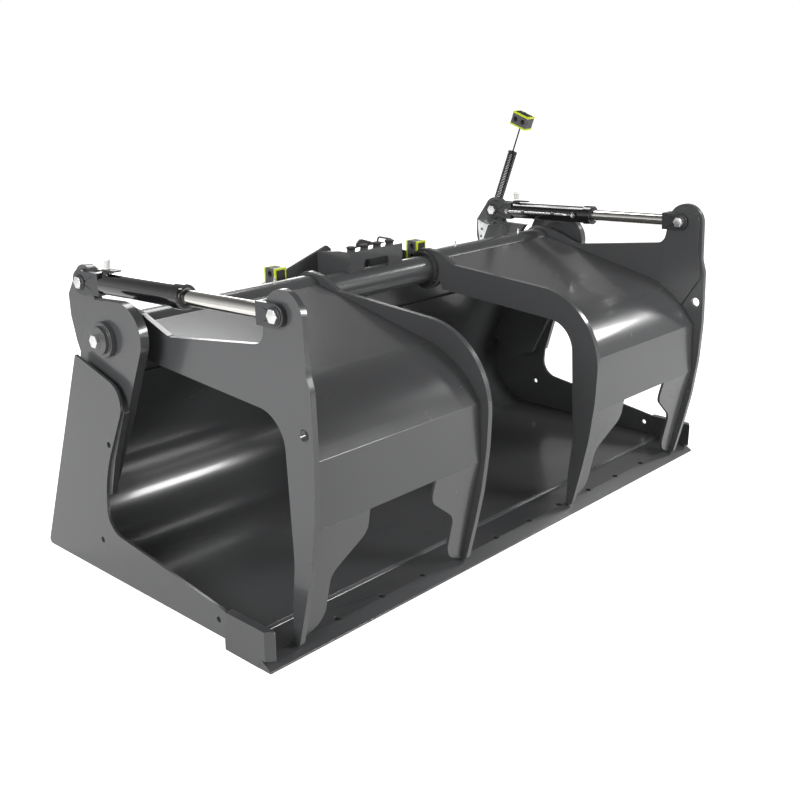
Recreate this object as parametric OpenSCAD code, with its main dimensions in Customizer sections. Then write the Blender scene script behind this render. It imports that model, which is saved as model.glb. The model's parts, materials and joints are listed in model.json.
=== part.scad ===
// Grapple bucket for a skid-steer loader: an open bucket with two
// independent grapples, each swung by one hydraulic cylinder.
// Millimetres. X runs across the bucket, the mouth faces -Y and Z is up.
// The origin lies on the ground, mid width, right below the grapples' pivot.

/* [Bucket] */
// Width over the cutting edge
bucket_w = 1980; // [1900:10:2200]
// Thickness of the bent shell sheet
sheet_t = 8; // [6:1:10]
// Thickness of a side plate
side_t = 8; // [6:1:10]
// Inset of the side plates from the ends of the cutting edge
side_inset = 5; // [3:1:8]
// Height at which the shell's back ends, under the top rail
shell_top = 527; // [510:1:540]
// Height of the top rail's flat top
back_h = 629; // [620:1:640]
// Distance behind the pivot where the back would meet the floor
heel_back = 337; // [325:1:350]
// Lean of the back from upright, in degrees
back_lean = 21.2; // [20:0.1:22]
// Inside radius of the rolled heel
heel_r = 172; // [140:1:200]
// Distance from the pivot forward to the floor's front edge
floor_front = 490; // [480:1:500]
// Depth of the top rail, front to back
rail_depth = 54; // [50:1:60]
// Height of the top rail's rear leg
rail_leg = 90; // [70:1:110]

/* [Cutting edge] */
// Distance from the pivot forward to the cutting edge's nose
edge_front = 620; // [615:1:630]
// Depth of the cutting edge, front to back
edge_depth = 150; // [145:1:155]
// Thickness of the cutting edge and of the wear bars
edge_t = 25; // [20:1:30]
// Length of the bevel on top of the nose
bevel_l = 35; // [30:1:36]
// Height of the blunt nose
nose_t = 5; // [3:0.5:8]
// Radius of the holes for a bolt-on edge
edge_hole_r = 9; // [7:0.5:10]
// Distance between the holes for a bolt-on edge
edge_hole_pitch = 160; // [150:1:170]
// Width of a wear bar
wear_w = 80; // [60:5:100]
// Thickness of a side cutter
cutter_t = 22; // [20:1:25]
// Height of a side cutter
cutter_h = 103; // [95:1:110]
// Distance from the pivot forward to a side cutter's nose
cutter_front = 617; // [612:1:618]
// Distance from the pivot forward to a side cutter's rear end
cutter_rear = 455; // [450:1:458]

/* [Pivot] */
// Height of the grapples' pivot over the ground
pivot_h = 686; // [684:1:690]
// Outside radius of the pivot tube
tube_r = 44.45; // [42:0.05:46]
// Wall of the pivot tube
tube_wall = 8; // [6:1:10]
// Thickness of a pivot ear
ear_t = 25; // [20:1:28]
// Wall of the bushes that run on the tube
bush_wall = 5.5; // [4:0.5:7]
// Length of a bush inside the sleeve
bush_l = 50; // [40:1:60]
// Wall of the sleeve that joins a grapple's two arms
sleeve_wall = 7; // [6:0.5:8]
// Radius of the arms around the pivot
hub_r = 67; // [66:1:70]
// Radius of the cap on each end of the tube
cap_r = 46; // [45:1:50]
// Thickness of a cap's flange
cap_t = 15; // [12:1:18]
// Thickness of a cap's raised boss
boss_t = 10.5; // [8:0.5:12]

/* [Grapples] */
// Inset of the outer arms' outer faces from the ends of the cutting edge
arm_inset = 102; // [100:0.5:105]
// Distance from mid width to the inner face of an inner arm
arm_in = 250; // [220:1:280]
// Thickness of an arm
arm_t = 16; // [14:0.5:18]
// Thickness of the cover and apron sheets
cover_t = 8; // [6:1:10]
// Radius of the cover's roll
cover_r = 280; // [260:1:290]
// Height of the seam between cover and apron
seam_h = 331; // [325:1:337]
// Width of an apron prong at the seam, over the arm
prong_w = 198; // [190:1:200]
// Radius of the hole in an outer arm
arm_hole_r = 15; // [12:0.5:18]
// Radius of the cylinder lug on an outer arm
lug_r = 62; // [60:0.5:64]
// Thickness of the doubler on the lug
doubler_t = 8; // [6:0.5:9]

/* [Cylinders] */
// Distance from the pivot back to the base pin
base_back = 197; // [195:1:200]
// Height of the base pin over the pivot
base_up = 107; // [105:1:109]
// Distance from the pivot forward to the rod pin
rod_front = 576; // [574:1:578]
// Height of the rod pin over the pivot
rod_up = 144; // [142:1:146]
// Radius of the pins
pin_r = 10; // [9:0.5:11]
// Width across the flats of the hex heads
head_af = 30; // [26:1:32]
// Thickness of the hex heads on the cylinder pins
head_t = 9; // [7:0.5:12]
// Outside radius of the barrel
barrel_r = 28.5; // [27:0.5:30]
// Wall of the barrel
barrel_wall = 3.1; // [2.5:0.1:4]
// Distance from the base pin to the barrel's front end
barrel_end = 395; // [385:1:405]
// Radius of the gland nut
gland_r = 32; // [31:0.5:34]
// Length of the gland nut
gland_l = 32; // [26:1:36]
// Radius of the rod
rod_r = 19; // [16:0.5:20]
// Length of the piston
piston_l = 30; // [24:1:34]
// Width of the two clevises
clevis_w = 52; // [48:1:54]
// Half height of the base clevis
base_half = 30; // [28:0.5:32]
// Radius of the base clevis round its pin
base_eye_r = 34; // [32:0.5:35]
// Distance from the base pin to the base clevis's front face
base_len = 85; // [82:1:90]
// Distance from the base pin to the bottom of the base clevis's slot
base_slot = 62; // [61:0.5:66]
// Radius of the rod clevis round its pin, and half its height
rod_eye_r = 27; // [25:0.5:28]
// Distance from the rod pin to the rod clevis's rear face
rod_len = 63.5; // [62:0.5:66]
// Distance from the rod pin to the bottom of the rod clevis's slot
rod_slot = 56; // [55.5:0.25:56.5]
// Thickness of a cylinder ear
cyl_ear_t = 24; // [22:0.5:25]
// Radius of a cylinder ear round the base pin
cyl_ear_r = 45; // [42:0.5:46]
// Radius of the eased hole for the base pin
eased_r = 28; // [26:0.5:29]

/* [Hose gear] */
// Half width of the step over the tube
step_half = 117; // [105:1:125]
// Height of the step's top over the pivot
step_rise = 104; // [98:1:110]
// Thickness of the step's sheet
step_t = 6; // [5:0.5:8]
// Thickness of the hose guard
guard_t = 8; // [6:1:10]
// Length of a hose clamp, across its two bores
clamp_l = 68; // [60:1:72]
// Width of a hose clamp, along its bores
clamp_w = 42; // [34:1:42]
// Height of a hose clamp's two halves together
clamp_h = 37; // [32:1:38]
// Thickness of a clamp's cover plates
clamp_plate_t = 6; // [4:0.5:8]
// Radius of a clamp's bores
clamp_bore_r = 9; // [7:0.5:10]
// Distance of each clamp from mid width
clamp_x = 312; // [290:1:330]
// Radius of the hose spring's coil
spring_r = 17; // [14:0.5:17]
// Wire radius of the hose spring
wire_r = 2; // [1.5:0.25:2.5]
// Length of the coil
coil_l = 225; // [200:1:230]
// Length of the straight wire above the coil
stem_l = 102; // [90:1:110]
// Forward lean of the hose spring, in degrees
spring_lean = 18.8; // [15:0.1:22]

/* [Loader mount] */
// Width of the attach plate
attach_w = 1143; // [1100:1:1160]
// Height of the attach plate
attach_h = 447; // [440:1:450]
// Thickness of the attach plate
attach_t = 10; // [8:1:12]
// Depth of the ledge with the lock slots
ledge_l = 70; // [66:1:76]
// Distance of each lock slot's middle from the attach plate's end
slot_inset = 58.5; // [52:0.5:70]
// Length of a lock slot
slot_l = 75; // [65:1:85]
// Width of a lock slot
slot_w = 30; // [26:1:34]

/* [Hidden] */
$fn = 64;
// Gap between pieces that are welded or bolted along a curve
weld_gap = 0.3;
// Running clearance of pins and bushes, on the radius
running = 0.05;
// Clearance between flat faces that slide past each other
side_gap = 0.3;
// Largest distance between a rounded corner and its chords
arc_sag = 0.12;
left = -1;
right = 1;

// Places that several pieces share
cutter_seat = edge_front - bevel_l - 5;
half_w = bucket_w / 2;
side_out = half_w - side_inset;
side_in = side_out - side_t;
arm_out = half_w - arm_inset;
slot_x = attach_w / 2 - slot_inset;
step_top = pivot_h + step_rise;
doubler_in = side_in - 17;
ear_in = doubler_in - ear_t;
floor_z = edge_t + sheet_t;
bush_r = tube_r + bush_wall;
sleeve_r = bush_r + sleeve_wall;
lug_in = arm_out - arm_t - doubler_t;
cyl_x = (arm_out + lug_in) / 2;
base_pin = [base_back, pivot_h + base_up];
rod_pin = [-rod_front, pivot_h + rod_up];
lug_centre = rod_pin + [-12, -4];
cyl_l = norm(base_pin - rod_pin);
cyl_rise = atan2(rod_pin[1] - base_pin[1], base_pin[0] - rod_pin[0]);
clevis_in = cyl_x - clevis_w / 2;
clevis_out = cyl_x + clevis_w / 2;
barrel_bore = barrel_r - barrel_wall;

// Rounded outlines
function unit(v) = v / norm(v);
function at(p) = [p[0], p[1]];
function arc_steps(r, turn) = max(1, ceil(abs(turn) / (2 * acos(1 - arc_sag / r))));
function arc(m, r, from, turn) =
    let (n = arc_steps(r, turn))
    [for (i = [0:n]) m + r * [cos(from + turn * i / n), sin(from + turn * i / n)]];
// Corner b between a and c: the point itself, or an arc of radius b[2]
function corner(a, b, c) =
    len(b) < 3 ? [b] :
    let (
        u = unit(at(a) - at(b)),
        v = unit(at(c) - at(b)),
        half = acos(u * v) / 2,
        m = at(b) + unit(u + v) * b[2] / sin(half),
        p = at(b) + u * b[2] / tan(half),
        q = at(b) + v * b[2] / tan(half),
        from = atan2(p[1] - m[1], p[0] - m[0]),
        to = atan2(q[1] - m[1], q[0] - m[0]),
        turn = (to - from + 540) % 360 - 180
    )
    arc(m, b[2], from, turn);
// Closed outline with its third numbers as corner radii
function rounded(pts) =
    let (n = len(pts))
    [for (i = [0:n - 1]) each corner(pts[(i + n - 1) % n], pts[i], pts[(i + 1) % n])];
// Open path with rounded bends
function bent(pts) =
    let (n = len(pts))
    [for (i = [0:n - 1]) each i == 0 || i == n - 1 ? [at(pts[i])] : corner(pts[i - 1], pts[i], pts[i + 1])];
// The same path, moved t to its left
function beside(p, t) =
    let (n = len(p))
    [for (i = [0:n - 1])
        let (
            a = unit(i > 0 ? p[i] - p[i - 1] : p[1] - p[0]),
            b = unit(i < n - 1 ? p[i + 1] - p[i] : p[n - 1] - p[n - 2]),
            m = unit(a + b)
        )
        p[i] + [-m[1], m[0]] * t / (m * a)];
// Outline of a sheet t thick to the left of a path
function sheet(p, t) =
    let (q = beside(p, t), n = len(q))
    concat(p, [for (i = [n - 1:-1:0]) q[i]]);

// The bucket's back, as a line
function back_y(z) = heel_back - (z - floor_z) * tan(back_lean);
function rear_y(z) = back_y(z) + sheet_t / cos(back_lean);
shell_rim = shell_top + sheet_t * sin(back_lean) + weld_gap;
// Front face of the hose guard, which leaves room for the clamps behind the sleeves
guard_y = max(rear_y(back_h) + 9, sleeve_r + 6 + clamp_h + 2 * clamp_plate_t);
shell_path = bent([
    [-floor_front, floor_z],
    [heel_back, floor_z, heel_r],
    [back_y(shell_top), shell_top]
]);

// Extrusions: slab along X of a Y-Z outline, wall along Y of an X-Z outline
module slab(x0, x1) {
    translate([x0, 0, 0]) rotate([90, 0, 90]) linear_extrude(x1 - x0) children();
}
module wall(y0, y1) {
    translate([0, y1, 0]) rotate([90, 0, 0]) linear_extrude(y1 - y0) children();
}
module rod_x(x0, x1, place, r) {
    translate([x0, place[0], place[1]]) rotate([0, 90, 0]) cylinder(h = x1 - x0, r = r);
}
module hex_x(x0, x1, place, af) {
    translate([x0, place[0], place[1]]) rotate([0, 90, 0]) rotate([0, 0, 30])
        cylinder(h = x1 - x0, r = af / 2 / cos(30), $fn = 6);
}
// What is modelled on the right comes out on either side
module on(side) {
    if (side == right) children();
    else mirror([1, 0, 0]) children();
}
pivot = [0, pivot_h];

// Bucket
module bucket_shell() {
    color("#55575a") difference() {
        slab(-side_in, side_in) polygon(sheet(shell_path, -sheet_t));
        for (s = [left, right]) on(s)
            translate([half_w - cutter_t, -floor_front - 1, 0])
                cube([cutter_t, floor_front - cutter_rear + 1, floor_z + 1]);
    }
}

rail_rear = rear_y(back_h) + rail_depth;
module top_rail() {
    foot = shell_top - 25;
    path = bent([
        [rear_y(foot), foot],
        [rear_y(back_h), back_h, 16],
        [rail_rear, back_h, 16],
        [rail_rear + 10, back_h - rail_leg]
    ]);
    color("#505255") slab(-ear_in, ear_in) polygon(sheet(path, -sheet_t));
}

module cutting_edge() {
    rear = edge_front - edge_depth;
    profile = [
        [-rear, 0], [-rear, edge_t], [-edge_front + bevel_l, edge_t],
        [-edge_front, nose_t], [-edge_front, 0]
    ];
    color("#4a4c4e") difference() {
        slab(-half_w, half_w) polygon(profile);
        for (s = [left, right]) on(s)
            translate([half_w - cutter_t, -cutter_seat, -1])
                cube([cutter_t + 1, cutter_seat, edge_t + 2]);
        for (i = [-4.5:4.5])
            translate([i * edge_hole_pitch - 12, -edge_front + bevel_l + 7, -1])
                cylinder(h = edge_t + 2, r = edge_hole_r);
    }
}

module wear_bars() {
    front = edge_front - edge_depth;
    pitch = (bucket_w - 260) / 4;
    bar = rounded([[-front, 0], [-front, edge_t], [60, edge_t, 2], [60, 0, 20]]);
    color("#4a4c4e") for (i = [-2:2])
        slab(i * pitch - wear_w / 2, i * pitch + wear_w / 2) polygon(bar);
}

side_outline = rounded([
    [-cutter_rear, edge_t],
    [rear_y(edge_t), edge_t, 12],
    [rear_y(back_h), back_h, 3],
    [-102, 568, 60],
    [18, 322, 400],
    [30, 165, 62],
    [-255, 128, 700],
    [-cutter_rear, 100]
]);
module side_plate(side) {
    color("#5a5c5f") on(side) difference() {
        slab(side_in, side_out) polygon(side_outline);
        for (p = [[-9, 412], [60, 124], [-429, 69]])
            rod_x(side_in - 1, side_out + 1, p, 8);
    }
}

module side_cutter(side) {
    color("#525457") on(side) intersection() {
        slab(half_w - cutter_t, half_w) polygon(rounded([
            [-cutter_rear, 0], [-cutter_rear, cutter_h, 10], [-cutter_front, cutter_h, 10],
            [-cutter_front, edge_t], [-cutter_seat, edge_t], [-cutter_seat, 0]
        ]));
        linear_extrude(cutter_h + 1) polygon([
            [half_w - cutter_t, -cutter_rear], [half_w, -cutter_rear],
            [half_w, -cutter_front + 16], [half_w - cutter_t, -cutter_front]
        ]);
    }
}

module side_doublers() {
    color("#4c4e51") for (s = [left, right]) on(s)
        slab(doubler_in, side_in) polygon(rounded([
            [-36, 572, 12], [-80, 514, 12], [-20, 372], [9, 266], [62, 266], [2, 448, 60], [30, 545], [20, 572]
        ]));
}

// Pivot
module pivot_ear(side) {
    outline = rounded([
        [168, shell_rim], [57, pivot_h + 93, 14], [-198, pivot_h + 113, 84],
        [-62, 490, 400], [54, 249, 15], [112, 232, 30],
        [back_y(280) - weld_gap, 280], [back_y(shell_rim) - weld_gap, shell_rim]
    ]);
    color("#5c5e61") on(side) difference() {
        slab(ear_in, doubler_in) polygon(outline);
        rod_x(ear_in - 1, doubler_in + 1, pivot, tube_r + weld_gap);
    }
}

module pivot_tube() {
    color("#5a5c5e") difference() {
        rod_x(-doubler_in, doubler_in, pivot, tube_r);
        rod_x(-doubler_in - 1, doubler_in + 1, pivot, tube_r - tube_wall);
    }
}

module tube_plugs() {
    color("#4a4c4e") for (s = [left, right]) on(s) difference() {
        rod_x(doubler_in - ear_t, doubler_in, pivot, tube_r - tube_wall - weld_gap);
        rod_x(doubler_in - ear_t - 1, doubler_in + 1, pivot, pin_r + weld_gap);
    }
}

module pivot_caps() {
    color("#58595c") for (s = [left, right]) on(s) difference() {
        union() {
            rod_x(doubler_in, doubler_in + cap_t, pivot, cap_r);
            rod_x(doubler_in, doubler_in + cap_t + boss_t, pivot, cap_r - 10);
        }
        rod_x(doubler_in - 1, doubler_in + cap_t + boss_t + 1, pivot, pin_r + weld_gap);
    }
}

module pivot_bolts() {
    face = doubler_in + cap_t + boss_t;
    color("#d8d8d4") for (s = [left, right]) on(s) {
        rod_x(doubler_in - ear_t, face + 1, pivot, pin_r);
        hex_x(face, face + 13, pivot, head_af);
    }
}

// Hydraulic cylinders, at rest: along -Y from the base pin, with s as the distance
module along_cylinder() {
    translate([0, base_pin[0], base_pin[1]]) rotate([-cyl_rise, 0, 0]) children();
}
module rod_s(s0, s1, r) {
    translate([cyl_x, -s0, 0]) rotate([90, 0, 0]) cylinder(h = s1 - s0, r = r);
}

module cylinder_ear(side) {
    b = base_pin;
    outline = rounded([
        [rail_rear + 8, back_h + weld_gap], [118, back_h + weld_gap],
        [122, pivot_h + 18, 60], b + [-34, -30], b + [0, 40], b + [40, 20],
        b + [85, -45, 40], b + [83, -105, 80], b + [64, -172, 40],
        b + [10, -290, 20], [rail_rear + 10 + 9, back_h - rail_leg - 30]
    ]);
    color("#5a5c5f") on(side) difference() {
        union() {
            slab(lug_in, lug_in + cyl_ear_t) polygon(outline);
            rod_x(lug_in, lug_in + cyl_ear_t, b, cyl_ear_r);
        }
        rod_x(lug_in - 1, arm_out + 1, b, eased_r);
    }
}

module clevis(eye_r, half, face, slot, s_pin, away) {
    difference() {
        union() {
            slab(clevis_in, clevis_out) polygon([
                [-s_pin, -half], [-s_pin - away * face, -half],
                [-s_pin - away * face, half], [-s_pin, half]
            ]);
            rod_x(clevis_in, clevis_out, [-s_pin, 0], eye_r);
        }
        translate([lug_in - side_gap, -s_pin - (away > 0 ? slot : 2 * eye_r), -2 * eye_r])
            cube([arm_out - lug_in + 2 * side_gap, slot + 2 * eye_r, 4 * eye_r]);
        rod_x(clevis_in - 1, clevis_out + 1, [-s_pin, 0], pin_r + weld_gap);
    }
}
module hinge_pin(place) {
    rod_x(clevis_in - 1, clevis_out + 1, place, pin_r);
    hex_x(clevis_in - head_t, clevis_in, place, head_af);
    hex_x(clevis_out, clevis_out + head_t, place, head_af);
}

module base_clevis(side) {
    color("#3c3d3f") on(side) along_cylinder()
        clevis(base_eye_r, base_half, base_len, base_slot, 0, 1);
}
module base_pin(side) {
    color("#dddddd") on(side) hinge_pin(base_pin);
}
module barrel(side) {
    color("#151516") on(side) along_cylinder() difference() {
        union() {
            rod_s(base_len, barrel_end, barrel_r);
            for (s = [base_len + 22, barrel_end - 22])
                translate([cyl_x, -s, 0]) cylinder(h = barrel_r + 10, r = 12);
        }
        rod_s(base_len + 10, barrel_end + 1, barrel_bore);
        for (s = [base_len + 22, barrel_end - 22])
            translate([cyl_x, -s, 0]) cylinder(h = barrel_r + 11, r = 7);
    }
}
gland_spigot = 34;
module gland(side) {
    color("#1c1c1e") on(side) along_cylinder() difference() {
        union() {
            rod_s(barrel_end, barrel_end + gland_l, gland_r);
            rod_s(barrel_end - 10, barrel_end, barrel_bore - running);
        }
        rod_s(barrel_end - gland_spigot, barrel_end + gland_l + 1, rod_r + running);
    }
}
piston_front = barrel_end - gland_spigot - 4;
module rod(side) {
    color("#d9d7d0") on(side) along_cylinder() union() {
        rod_s(piston_front, cyl_l - rod_len, rod_r);
        rod_s(piston_front - piston_l - 16, piston_front, rod_r - 6);
    }
}
module piston(side) {
    color("#8a8a88") on(side) along_cylinder() difference() {
        rod_s(piston_front - piston_l, piston_front, barrel_bore - running);
        rod_s(piston_front - piston_l - 1, piston_front + 1, rod_r - 6 + weld_gap);
    }
}
module rod_clevis(side) {
    color("#303133") on(side) along_cylinder()
        clevis(rod_eye_r, rod_eye_r, rod_len, rod_slot, cyl_l, -1);
}
module rod_pin(side) {
    color("#dddddd") on(side) hinge_pin(rod_pin);
}

// Grapples
arm_inside = [
    [-590, 130, 300], [-601, 235, 400], [-577, 595, 92], [-72, 628]
];
arm_front = [[-672, 370, 500], [-657, 245, 400], [-637, 146, 300], [-609, 24, 8], [-588, 26, 8]];
module arm_body(x0, x1, top) {
    slab(x0, x1) polygon(rounded(concat(top, arm_front, arm_inside)));
    rod_x(x0, x1, pivot, hub_r);
}
module arm_outer(side) {
    x0 = arm_out - arm_t;
    top = [
        [-13, pivot_h + 66], [-52, pivot_h + 60, 60], [-165, pivot_h + 20, 60],
        [-514, pivot_h + 66, 35], lug_centre + [lug_r, -4], lug_centre,
        lug_centre + [-lug_r, 0], [-656, pivot_h + 24, 80], [-669, pivot_h - 14, 80], [-677, 500, 900]
    ];
    color("#5e6063") on(side) difference() {
        union() {
            arm_body(x0, arm_out, top);
            rod_x(x0, arm_out, lug_centre, lug_r);
        }
        rod_x(x0 - 1, arm_out + 1, pivot, sleeve_r + weld_gap);
        rod_x(x0 - 1, arm_out + 1, rod_pin, pin_r + running);
        rod_x(x0 - 1, arm_out + 1, [-646, 568], arm_hole_r);
    }
}
module arm_inner(side) {
    top = [
        [-13, pivot_h + 66], [-52, pivot_h + 61, 40], [-118, pivot_h + 27, 30], [-682, pivot_h - 8, 225]
    ];
    color("#5e6063") on(side) difference() {
        arm_body(arm_in, arm_in + arm_t, top);
        rod_x(arm_in - 1, arm_in + arm_t + 1, pivot, sleeve_r + weld_gap);
    }
}
seam = [-654, seam_h];
crease = [-647, 494];
apron_tip = [-592, 16];
// Outer and inner line of the whole skin: roll, crease, seam and apron
skin_out = bent([[-20, pivot_h + 41], [-568, pivot_h - 79, cover_r], crease, seam, apron_tip]);
skin_in = beside(skin_out, cover_t);
last = len(skin_out) - 1;
module cover(side) {
    outline = concat(
        [for (i = [0:last - 1]) skin_out[i]],
        [for (i = [last - 1:-1:0]) skin_in[i]]
    );
    color("#606265") on(side) difference() {
        slab(arm_in + arm_t, arm_out - arm_t) polygon(outline);
        rod_x(arm_in, arm_out, pivot, sleeve_r + weld_gap);
    }
}
// Doubler on the lug's inner face, down to the cover
module lug_doubler(side) {
    x1 = arm_out - arm_t;
    r = lug_r - 8;
    color("#5e6063") on(side) difference() {
        union() {
            rod_x(lug_in, x1, lug_centre, r);
            slab(lug_in, x1) polygon(rounded([
                lug_centre + [r, -4], lug_centre, lug_centre + [-r, 0],
                [-643, pivot_h + 58, 60], [-661, pivot_h - 31, 15], [-592, 543], [-512, 560],
                [-519, pivot_h + 62, 35]
            ]));
        }
        slab(lug_in - 1, x1 + 1) polygon(concat(beside(skin_out, -weld_gap), [[0, 16]]));
        rod_x(lug_in - 1, x1 + 1, rod_pin, pin_r + running);
    }
}
module apron(side) {
    width = arm_out - arm_in;
    edge = bent([
        [prong_w, seam_h], [prong_w + 5, 268, 45], [92, 186, 50], [92, 57, 60], [0, 20]
    ]);
    prong = concat([[0, seam_h + 5], [prong_w, seam_h + 5]], edge);
    color("#606265") on(side) intersection() {
        slab(arm_in + arm_t, arm_out - arm_t)
            polygon([skin_out[last - 1], skin_out[last], skin_in[last], skin_in[last - 1]]);
        translate([arm_in, 0, 0]) wall(apron_tip[0] - 100, apron_tip[0] + 50) {
            polygon(prong);
            polygon([for (p = prong) [width - p[0], p[1]]]);
        }
    }
}

module hub_sleeve(side) {
    x0 = arm_in - 12;
    x1 = ear_in - side_gap - 4;
    color("#5a5c5e") on(side) difference() {
        rod_x(x0, x1, pivot, sleeve_r);
        rod_x(x0 - 1, x1 + 1, pivot, bush_r);
    }
}
module hub_bushes(side) {
    x0 = arm_in - 12;
    x1 = ear_in - side_gap - 4;
    color("#4a4b4d") on(side) difference() {
        union() {
            rod_x(x0 - 4, x0, pivot, sleeve_r);
            rod_x(x0 - 4, x0 + bush_l, pivot, bush_r - 0.02);
            rod_x(x1 - bush_l, x1 + 4, pivot, bush_r - 0.02);
            rod_x(x1, x1 + 4, pivot, sleeve_r);
        }
        rod_x(x0 - 5, x1 + 5, pivot, tube_r + running);
    }
}

// Step, guard and hose gear
module step() {
    front = -18;
    base = pivot_h + sqrt(pow(tube_r, 2) - pow(front, 2));
    rear = guard_y;
    cut = bent([[-54, 0], [-54, step_top - 30, 10], [54, step_top - 30, 10], [54, 0]]);
    color("#5a5c5f") difference() {
        union() {
            wall(front, front + step_t)
                polygon([[-step_half, base - 8], [step_half, base - 8],
                    [step_half, step_top], [-step_half, step_top]]);
            translate([-step_half, front, step_top - step_t])
                cube([2 * step_half, 44, step_t]);
            for (s = [left, right]) on(s) slab(step_half - step_t, step_half)
                polygon([[front, base - 8], [front, step_top], [front + 44, step_top],
                    [rear, step_top - 14], [rear, back_h + 60], [tube_r + 4, pivot_h + 24]]);
            for (x = [-85, -28, 28, 85])
                translate([x, 8, step_top]) cylinder(h = 7, r = 12);
        }
        rod_x(-step_half - 1, step_half + 1, pivot, tube_r + weld_gap);
        wall(front - 1, front + step_t + 1) polygon(cut);
        for (x = [-85, -28, 28, 85])
            translate([x, 8, step_top + 3]) cylinder(h = 5, r = 5);
    }
}

module back_guard() {
    color("#56585b") wall(guard_y, guard_y + guard_t) polygon([
        [-600, back_h + weld_gap], [600, back_h + weld_gap], [80, step_top], [-80, step_top]
    ]);
}

// A two-bore clamp: bores along X, stacked along Z, length along Y
module clamp_halves() {
    groove = 1.5;
    difference() {
        translate([-clamp_w / 2, -clamp_l / 2, -clamp_h / 2]) cube([clamp_w, clamp_l, clamp_h]);
        difference() {
            translate([-clamp_w, -clamp_l, -groove / 2]) cube([2 * clamp_w, 2 * clamp_l, groove]);
            translate([groove - clamp_w / 2, groove - clamp_l / 2, -groove])
                cube([clamp_w - 2 * groove, clamp_l - 2 * groove, 2 * groove]);
        }
        for (y = [-clamp_l / 4, clamp_l / 4]) rod_x(-clamp_w, clamp_w, [y, 0], clamp_bore_r);
    }
}
module clamp_covers() {
    for (z = [-clamp_h / 2 - clamp_plate_t, clamp_h / 2])
        translate([-clamp_w / 2 - 1, -clamp_l / 2 - 1, z])
            cube([clamp_w + 2, clamp_l + 2, clamp_plate_t]);
}
module on_guard() {
    y = guard_y - clamp_h / 2 - clamp_plate_t;
    for (s = [left, right]) translate([s * clamp_x, y, pivot_h + 39]) rotate([90, 0, 0]) children();
}
module clamp_bodies() {
    color("#77797c") on_guard() clamp_halves();
}
module clamp_plates() {
    color("#b5d334") on_guard() clamp_covers();
}

// Angle bracket on the inboard face of the right cylinder ear: a flange and a hanging plate
module hose_bracket() {
    x0 = lug_in - 74;
    fold = base_pin + [20, -31];
    color("#c9cbcd") difference() {
        union() {
            translate([0, fold[0], fold[1]]) rotate([20, 0, 0])
                translate([x0, -50, -step_t]) cube([lug_in - x0, 50, step_t]);
            slab(x0, x0 + step_t) polygon([
                fold + [0.5, -step_t - 0.2], fold + [-45, -18 - step_t], fold + [-23, -81], fold + [-10, -75],
                fold + [-2, -36]
            ]);
        }
        translate([0, fold[0], fold[1]]) rotate([20, 0, 0])
            for (p = [[22, -18], [48, -32]]) translate([x0 + p[0], p[1], -10]) cylinder(h = 20, r = 5);
        rod_x(clevis_in - 1, lug_in + 1, base_pin, base_eye_r + 13);
        for (p = [[-20, -33], [-17, -60]]) rod_x(x0 - 1, x0 + step_t + 1, fold + p, 5);
    }
}

// Hose spring, outboard of the right cylinder ear
spring_x = arm_out + 42;
spring_foot = base_pin + [48, -9];
// Height at which the coil starts, clear of the tab as it bends round the ball inside it
coil_start = spring_r * 0.42;
module on_spring() {
    translate([spring_x, spring_foot[0], spring_foot[1]]) rotate([spring_lean, 0, 0]) children();
}
module spring_socket() {
    tab = 6;
    start = lug_in + cyl_ear_t - spring_x;
    color("#5a5c5f") on_spring() {
        translate([0, 0, -tab]) linear_extrude(tab) polygon([
            [start, 3], [-18, 3], [-18, -18], [18, -18], [18, 18], [start, 18]
        ]);
        difference() {
            sphere(r = norm([spring_r - 2 * wire_r, coil_start + weld_gap]) - 0.5);
            translate([-spring_r, -spring_r, -2 * spring_r - tab / 2]) cube(2 * spring_r);
        }
    }
}
module hose_spring() {
    turns = floor((coil_l - coil_start) / (2 * wire_r));
    pitch = (coil_l - coil_start) / turns;
    outer = [for (i = [0:turns - 1]) each [
        [spring_r - wire_r * 0.6, coil_start + i * pitch], [spring_r, coil_start + (i + 0.5) * pitch]
    ]];
    color("#171718") on_spring() translate([0, 0, weld_gap]) rotate_extrude() polygon(concat(
        [[spring_r - 2 * wire_r, coil_start]], outer, [[spring_r - wire_r * 0.6, coil_l], [spring_r - 2 * wire_r, coil_l]]
    ));
}
module spring_stem() {
    color("#202022") on_spring() union() {
        translate([0, 0, coil_l + weld_gap]) cylinder(h = 2 * wire_r, r = spring_r);
        translate([0, 0, coil_l + weld_gap]) cylinder(h = stem_l, r = wire_r);
    }
}
module on_stem() {
    on_spring() translate([0, 0, coil_l + weld_gap + stem_l + clamp_h / 2 + clamp_plate_t]) children();
}
module spring_clamp() {
    color("#77797c") on_stem() clamp_halves();
}
module spring_clamp_plates() {
    color("#b5d334") on_stem() clamp_covers();
}

// Loader mount on the back
attach_y = rear_y(edge_t) + 24;
attach_z = 58;
module attach_plate() {
    top = attach_z + attach_h;
    path = bent([
        [attach_y + 44, top - 44 + 14], [attach_y + attach_t, top, 6], [attach_y + attach_t, attach_z, 10],
        [attach_y + ledge_l, attach_z]
    ]);
    color("#55575a") difference() {
        slab(-attach_w / 2, attach_w / 2) polygon(sheet(path, -attach_t));
        for (s = [left, right])
            translate([s * slot_x - slot_l / 2, attach_y + attach_t + 14, attach_z - 30])
                cube([slot_l, slot_w, 60]);
    }
}
module attach_ribs() {
    inside = concat(beside(shell_path, -sheet_t - weld_gap), [[-floor_front, shell_top]]);
    pitch = (attach_w - 63) / 3;
    color("#505255") difference() {
        for (i = [-1.5:1.5]) slab(i * pitch - 5, i * pitch + 5) polygon([
            [150, 60], [attach_y - weld_gap, 70], [attach_y - weld_gap, 440], [220, 490], [100, 490]
        ]);
        slab(-600, 600) polygon(inside);
    }
}

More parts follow.
